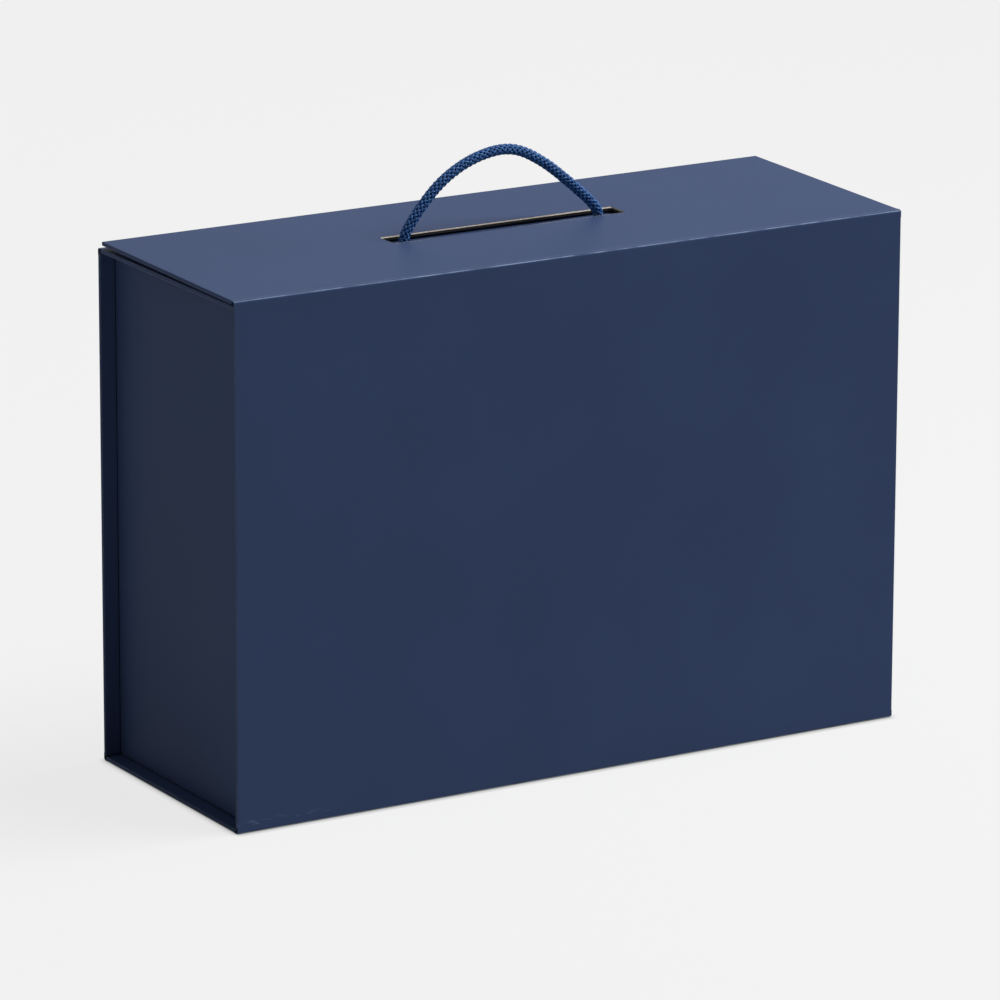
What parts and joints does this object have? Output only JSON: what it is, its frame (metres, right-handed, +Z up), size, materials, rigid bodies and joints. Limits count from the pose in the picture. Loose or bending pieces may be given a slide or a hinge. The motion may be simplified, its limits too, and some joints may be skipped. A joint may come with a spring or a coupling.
{
  "type": "folding storage box",
  "caption": "Upright fold-flat box for papers and keepsakes, with a swing-down lid, a closing flap, folding side walls and a rope carrying handle.",
  "frame": {"origin": "middle of the face that the box stands on, the outer face of the spine", "axes": "+X along the width, to the viewer's right; -Y towards the lid, the big face that the picture shows; +Z up"},
  "size_m": [0.33, 0.12, 0.2672],
  "materials": {
    "cover_paper": "matte",
    "lining_paper": "matte",
    "greyboard": "raw",
    "tab_paper": "matte",
    "tape": "release paper",
    "magnet": "plated",
    "rope": "braided"
  },
  "bodies": {
    "tray": {"base_board": "greyboard", "base_cover": "cover_paper", "base_lining": "lining_paper", "spine_board": "greyboard", "spine_cover": "cover_paper", "spine_lining": "lining_paper", "handle_wall_board": "greyboard", "handle_wall_cover": "cover_paper", "handle_wall_lining": "lining_paper", "base_crease": "cover_paper", "handle_wall_crease": "cover_paper", "lid_crease": "cover_paper", "left_wall_hinge": "lining_paper", "right_wall_hinge": "lining_paper", "left_handle_wall_magnet": "magnet", "right_handle_wall_magnet": "magnet", "left_rope_knot": "rope", "right_rope_knot": "rope", "left_rope_leg": "rope", "right_rope_leg": "rope"},
    "lid": {"lid_board": "greyboard", "lid_cover": "cover_paper", "lid_lining": "lining_paper", "flap_crease": "cover_paper"},
    "flap": {"flap_board": "greyboard", "flap_cover": "cover_paper", "flap_lining": "lining_paper", "left_flap_magnet": "magnet", "right_flap_magnet": "magnet"},
    "left_wall": {"left_wall_board": "greyboard", "left_wall_cover": "cover_paper", "left_wall_lining": "lining_paper"},
    "right_wall": {"right_wall_board": "greyboard", "right_wall_cover": "cover_paper", "right_wall_lining": "lining_paper"},
    "handle": {"rope_loop": "rope"},
    "left_top_tab": {"left_top_tab": "tab_paper", "left_top_tape": "tape"},
    "left_bottom_tab": {"left_bottom_tab": "tab_paper", "left_bottom_tape": "tape"},
    "right_top_tab": {"right_top_tab": "tab_paper", "right_top_tape": "tape"},
    "right_bottom_tab": {"right_bottom_tab": "tab_paper", "right_bottom_tape": "tape"}
  },
  "joints": [
    {"name": "lid_hinge", "type": "hinge", "parent": "tray", "child": "lid", "pos_m": [0, -0.058, 0.002], "axis": [1, 0, 0], "range_deg": [0, 90], "deforming": ["lid_crease", "flap_crease", "rope_loop", "left_rope_leg", "right_rope_leg"]},
    {"name": "flap_hinge", "type": "hinge", "parent": "lid", "child": "flap", "pos_m": [0, -0.058, 0.228], "axis": [1, 0, 0], "range_deg": [0, 89], "deforming": ["flap_crease", "rope_loop", "left_rope_leg", "right_rope_leg"]},
    {"name": "handle_tilt", "type": "hinge", "parent": "tray", "child": "handle", "pos_m": [0, -0.003, 0.2335], "axis": [1, 0, 0], "range_deg": [-89, 90], "stiffness_Nm_per_rad": 0.002},
    {"name": "left_wall_fold", "type": "hinge", "parent": "tray", "child": "left_wall", "pos_m": [-0.1562, 0.0566, 0.114], "axis": [0, 0, 1], "range_deg": [0, 90], "deforming": ["left_wall_hinge"]},
    {"name": "right_wall_fold", "type": "hinge", "parent": "tray", "child": "right_wall", "pos_m": [0.1562, 0.0566, 0.114], "axis": [0, 0, -1], "range_deg": [0, 90], "deforming": ["right_wall_hinge"]},
    {"name": "left_top_tab_fold", "type": "hinge", "parent": "left_wall", "child": "left_top_tab", "pos_m": [-0.1559, 0, 0.2248], "axis": [0, 1, 0], "range_deg": [0, 90]},
    {"name": "left_bottom_tab_fold", "type": "hinge", "parent": "left_wall", "child": "left_bottom_tab", "pos_m": [-0.1559, 0, 0.0031], "axis": [0, -1, 0], "range_deg": [0, 90]},
    {"name": "right_top_tab_fold", "type": "hinge", "parent": "right_wall", "child": "right_top_tab", "pos_m": [0.1559, 0, 0.2248], "axis": [0, -1, 0], "range_deg": [0, 90]},
    {"name": "right_bottom_tab_fold", "type": "hinge", "parent": "right_wall", "child": "right_bottom_tab", "pos_m": [0.1559, 0, 0.0031], "axis": [0, 1, 0], "range_deg": [0, 90]}
  ],
  "couplings": [
    {"joint": "left_top_tab_fold", "follows": "left_wall_fold", "ratio": 1},
    {"joint": "left_bottom_tab_fold", "follows": "left_wall_fold", "ratio": 1},
    {"joint": "right_top_tab_fold", "follows": "right_wall_fold", "ratio": 1},
    {"joint": "right_bottom_tab_fold", "follows": "right_wall_fold", "ratio": 1}
  ]
}
